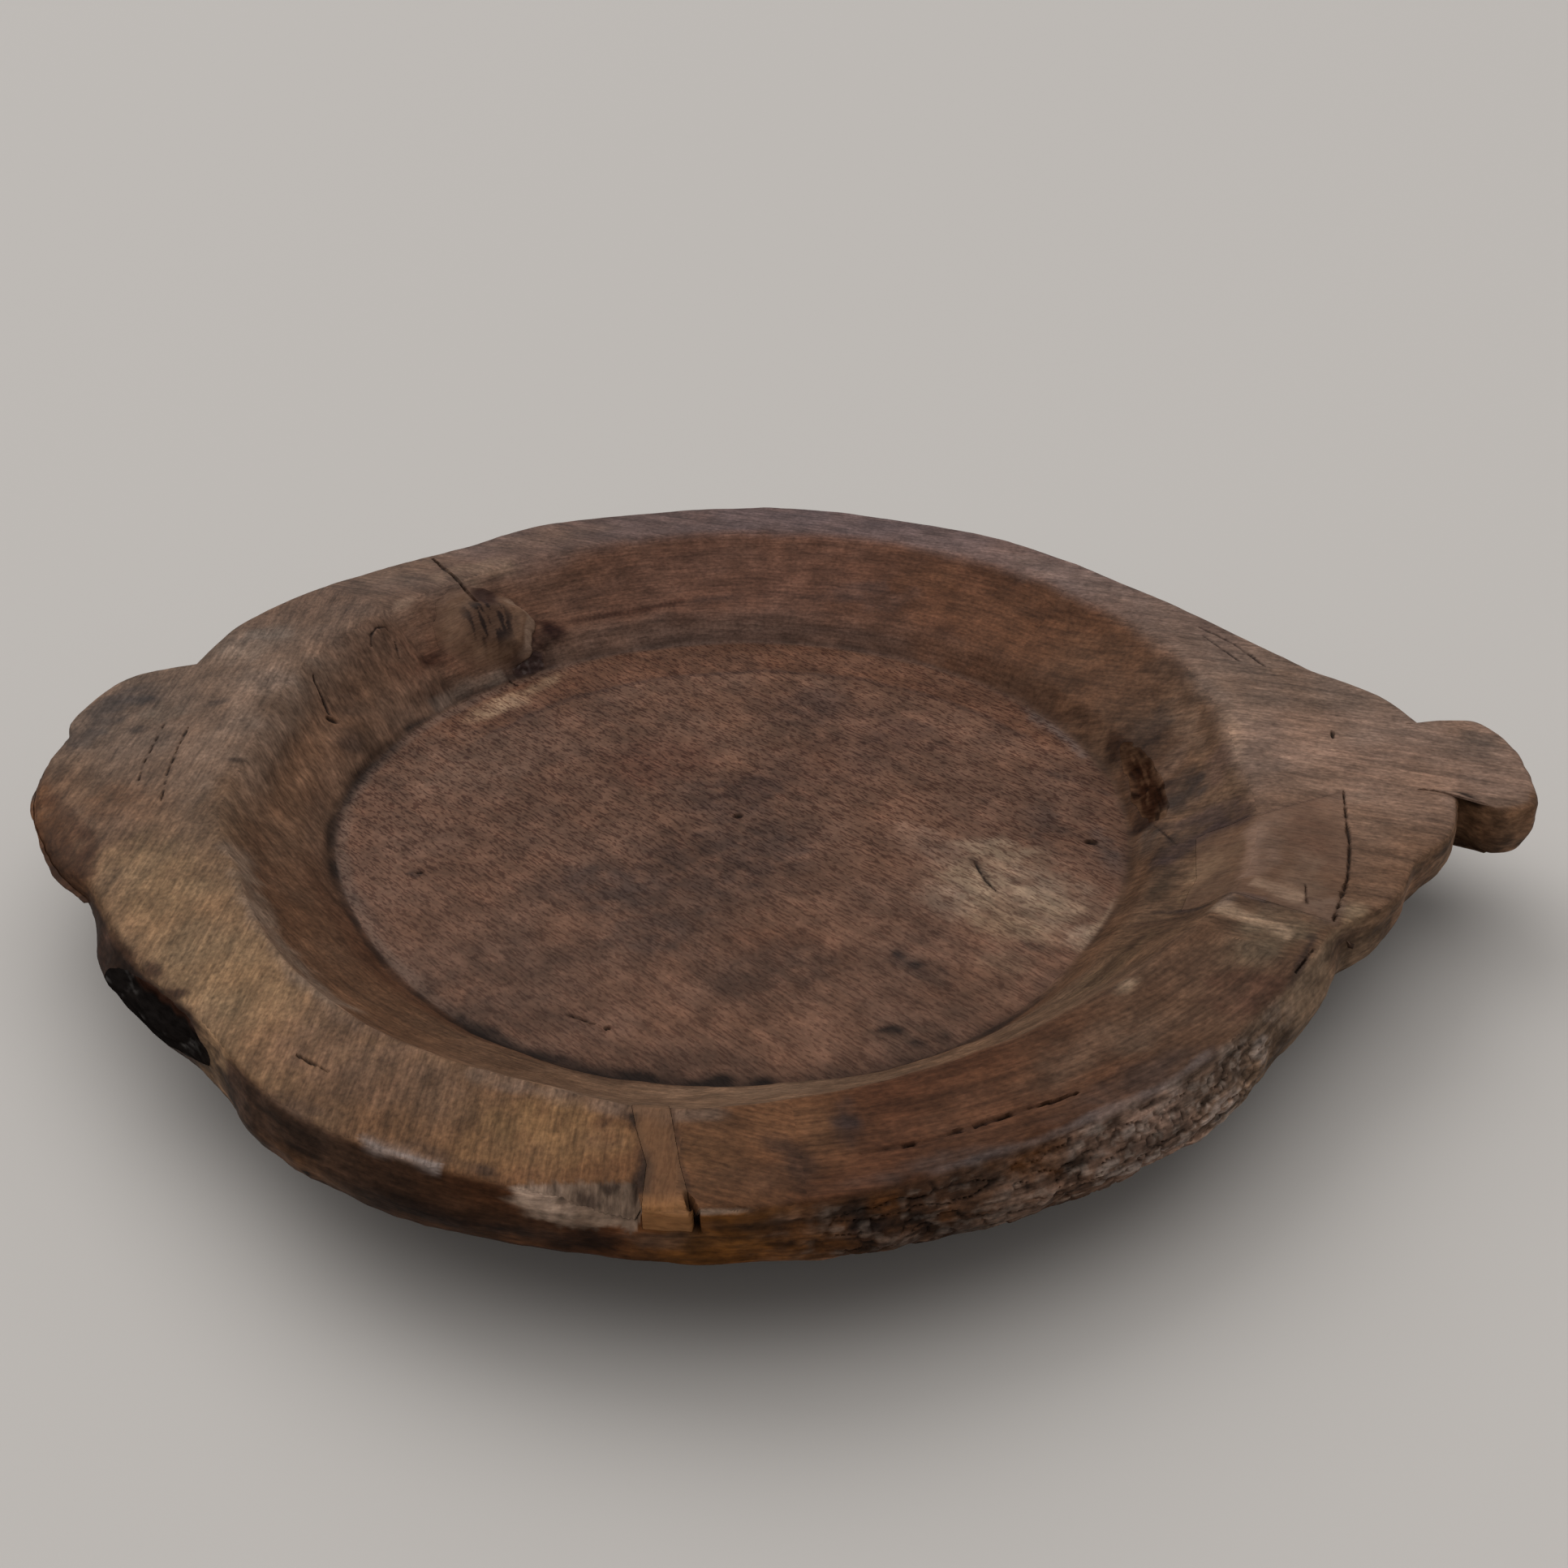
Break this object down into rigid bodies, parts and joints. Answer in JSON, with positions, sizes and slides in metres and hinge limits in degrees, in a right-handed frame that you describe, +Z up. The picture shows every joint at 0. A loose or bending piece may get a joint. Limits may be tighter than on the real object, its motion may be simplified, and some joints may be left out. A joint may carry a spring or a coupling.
{
  "type": "carved wooden bowl",
  "caption": "Broad shallow bowl hewn from one block of wood, with a lug and a knob at its ends, rim repairs let in and hollows filled with pitch; it holds fruit, bread or dough.",
  "frame": {"origin": "centre of the flat base, on the surface that the bowl stands on, below the compass mark in its floor", "axes": "+Z up out of the bowl, +X towards the knob on the right lug, +Y towards the back wall with the knot"},
  "size_m": [0.5386, 0.4782, 0.0575],
  "materials": {
    "bowl_wood": "worn, dry, lightly oiled",
    "patch_wood": "worn, paler than the bowl",
    "block_wood": "worn, close to the bowl",
    "knot_wood": "hard, stained end grain",
    "pitch": "black, half glossy",
    "fibre_pitch": "dark brown, fibrous"
  },
  "bodies": {
    "root": {"bowl_body": "bowl_wood", "front_rim_patch": "patch_wood", "right_rim_patch": "block_wood", "rear_wall_knot": "knot_wood", "rear_wall_pitch": "pitch", "right_wall_pitch": "fibre_pitch", "left_edge_pitch": "pitch"}
  },
  "joints": []
}
